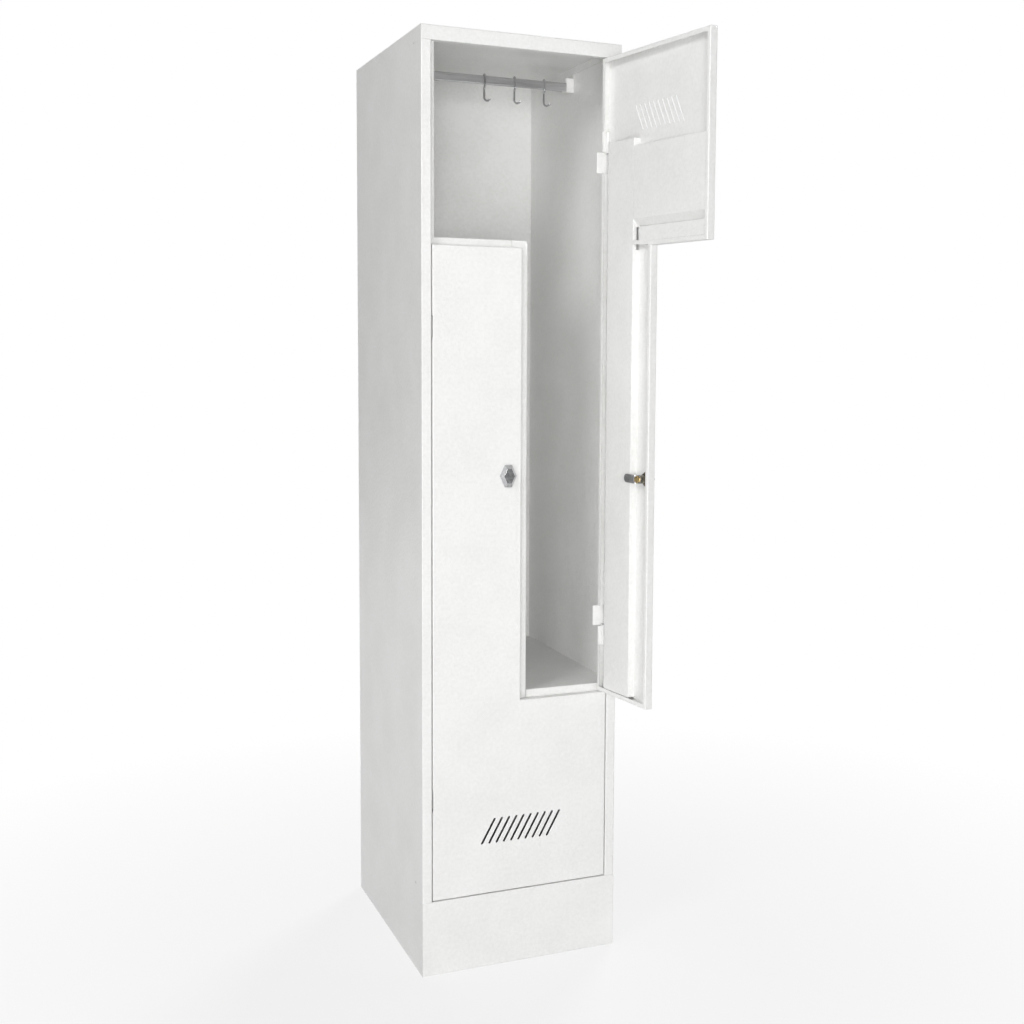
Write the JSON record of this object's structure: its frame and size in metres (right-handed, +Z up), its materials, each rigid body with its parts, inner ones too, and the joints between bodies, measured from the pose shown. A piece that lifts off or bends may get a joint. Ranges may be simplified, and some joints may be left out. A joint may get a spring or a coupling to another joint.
{
  "type": "clothes locker",
  "caption": "Tall steel changing-room locker on a plinth, with interlocking L-shaped doors, turning knobs, slanted vents, a Z-shaped partition and hanging rails with hooks.",
  "frame": {"origin": "middle of the front bottom edge of the plinth, on the floor", "axes": "+X to the right seen from the front, +Y from the front to the back, +Z up"},
  "size_m": [0.4279, 0.8466, 1.8],
  "materials": {
    "white_powder_coat": "fine orange-peel powder coat",
    "chrome_plate": "polished",
    "nickel_plate": "satin nickel",
    "turned_brass": "turned",
    "zinc_plated_steel": "zinc plated",
    "satin_rail_steel": "satin"
  },
  "bodies": {
    "carcass": {"back_panel": "white_powder_coat", "divider_panel": "white_powder_coat", "divider_post": "white_powder_coat", "floor_panel": "white_powder_coat", "left_side": "white_powder_coat", "lower_narrow_end_hinge_bracket": "white_powder_coat", "lower_narrow_end_hinge_pin": "zinc_plated_steel", "lower_rail": "satin_rail_steel", "lower_rail_left_bracket": "white_powder_coat", "lower_rail_right_bracket": "white_powder_coat", "lower_shelf": "white_powder_coat", "lower_wide_end_hinge_bracket": "white_powder_coat", "lower_wide_end_hinge_pin": "zinc_plated_steel", "plinth_front": "white_powder_coat", "right_side": "white_powder_coat", "top_panel": "white_powder_coat", "upper_narrow_end_hinge_bracket": "white_powder_coat", "upper_narrow_end_hinge_pin": "zinc_plated_steel", "upper_rail": "satin_rail_steel", "upper_rail_left_bracket": "white_powder_coat", "upper_rail_right_bracket": "white_powder_coat", "upper_shelf": "white_powder_coat", "upper_wide_end_hinge_bracket": "white_powder_coat", "upper_wide_end_hinge_pin": "zinc_plated_steel"},
    "upper_door": {"upper_door_corner_channel": "white_powder_coat", "upper_door_cross_channel": "white_powder_coat", "upper_door_hinge_channel": "white_powder_coat", "upper_door_skin": "white_powder_coat", "upper_lock_housing": "nickel_plate", "upper_lock_nut": "nickel_plate", "upper_narrow_end_hinge_knuckle": "white_powder_coat", "upper_wide_end_hinge_knuckle": "white_powder_coat"},
    "lower_door": {"lower_door_corner_channel": "white_powder_coat", "lower_door_cross_channel": "white_powder_coat", "lower_door_hinge_channel": "white_powder_coat", "lower_door_skin": "white_powder_coat", "lower_lock_housing": "nickel_plate", "lower_lock_nut": "nickel_plate", "lower_narrow_end_hinge_knuckle": "white_powder_coat", "lower_wide_end_hinge_knuckle": "white_powder_coat"},
    "upper_lock": {"upper_lock_cam": "zinc_plated_steel", "upper_lock_cam_screw": "turned_brass", "upper_lock_knob": "chrome_plate"},
    "lower_lock": {"lower_lock_cam": "zinc_plated_steel", "lower_lock_cam_screw": "turned_brass", "lower_lock_knob": "chrome_plate"},
    "lower_hook_1": {"lower_hook_1": "chrome_plate"},
    "lower_hook_2": {"lower_hook_2": "chrome_plate"},
    "upper_hook_1": {"upper_hook_1": "chrome_plate"},
    "upper_hook_2": {"upper_hook_2": "chrome_plate"},
    "upper_hook_3": {"upper_hook_3": "chrome_plate"}
  },
  "joints": [
    {"name": "upper_door_hinge", "type": "hinge", "parent": "carcass", "child": "upper_door", "pos_m": [0.1744, 0.0046, 1.15], "axis": [0, 0, 1], "range_deg": [-98, 7]},
    {"name": "lower_door_hinge", "type": "hinge", "parent": "carcass", "child": "lower_door", "pos_m": [-0.1744, 0.0046, 0.78], "axis": [0, 0, -1], "range_deg": [0, 105]},
    {"name": "upper_lock_turn", "type": "hinge", "parent": "upper_door", "child": "upper_lock", "pos_m": [0.19933, -0.13973, 0.968], "axis": [-0.9903, -0.1392, 0], "range_deg": [0, 180]},
    {"name": "lower_lock_turn", "type": "hinge", "parent": "lower_door", "child": "lower_lock", "pos_m": [-0.03, 0, 0.968], "axis": [0, 1, 0], "range_deg": [0, 180]},
    {"name": "upper_hook_1_slide", "type": "slide", "parent": "carcass", "child": "upper_hook_1", "axis": [1, 0, 0], "range_m": [-0.025, 0.025]},
    {"name": "upper_hook_2_slide", "type": "slide", "parent": "carcass", "child": "upper_hook_2", "axis": [1, 0, 0], "range_m": [-0.025, 0.025]},
    {"name": "upper_hook_3_slide", "type": "slide", "parent": "carcass", "child": "upper_hook_3", "axis": [1, 0, 0], "range_m": [-0.17, 0.025]},
    {"name": "lower_hook_1_slide", "type": "slide", "parent": "carcass", "child": "lower_hook_1", "axis": [1, 0, 0], "range_m": [-0.035, 0.025]},
    {"name": "lower_hook_2_slide", "type": "slide", "parent": "carcass", "child": "lower_hook_2", "axis": [1, 0, 0], "range_m": [-0.025, 0.028]}
  ]
}
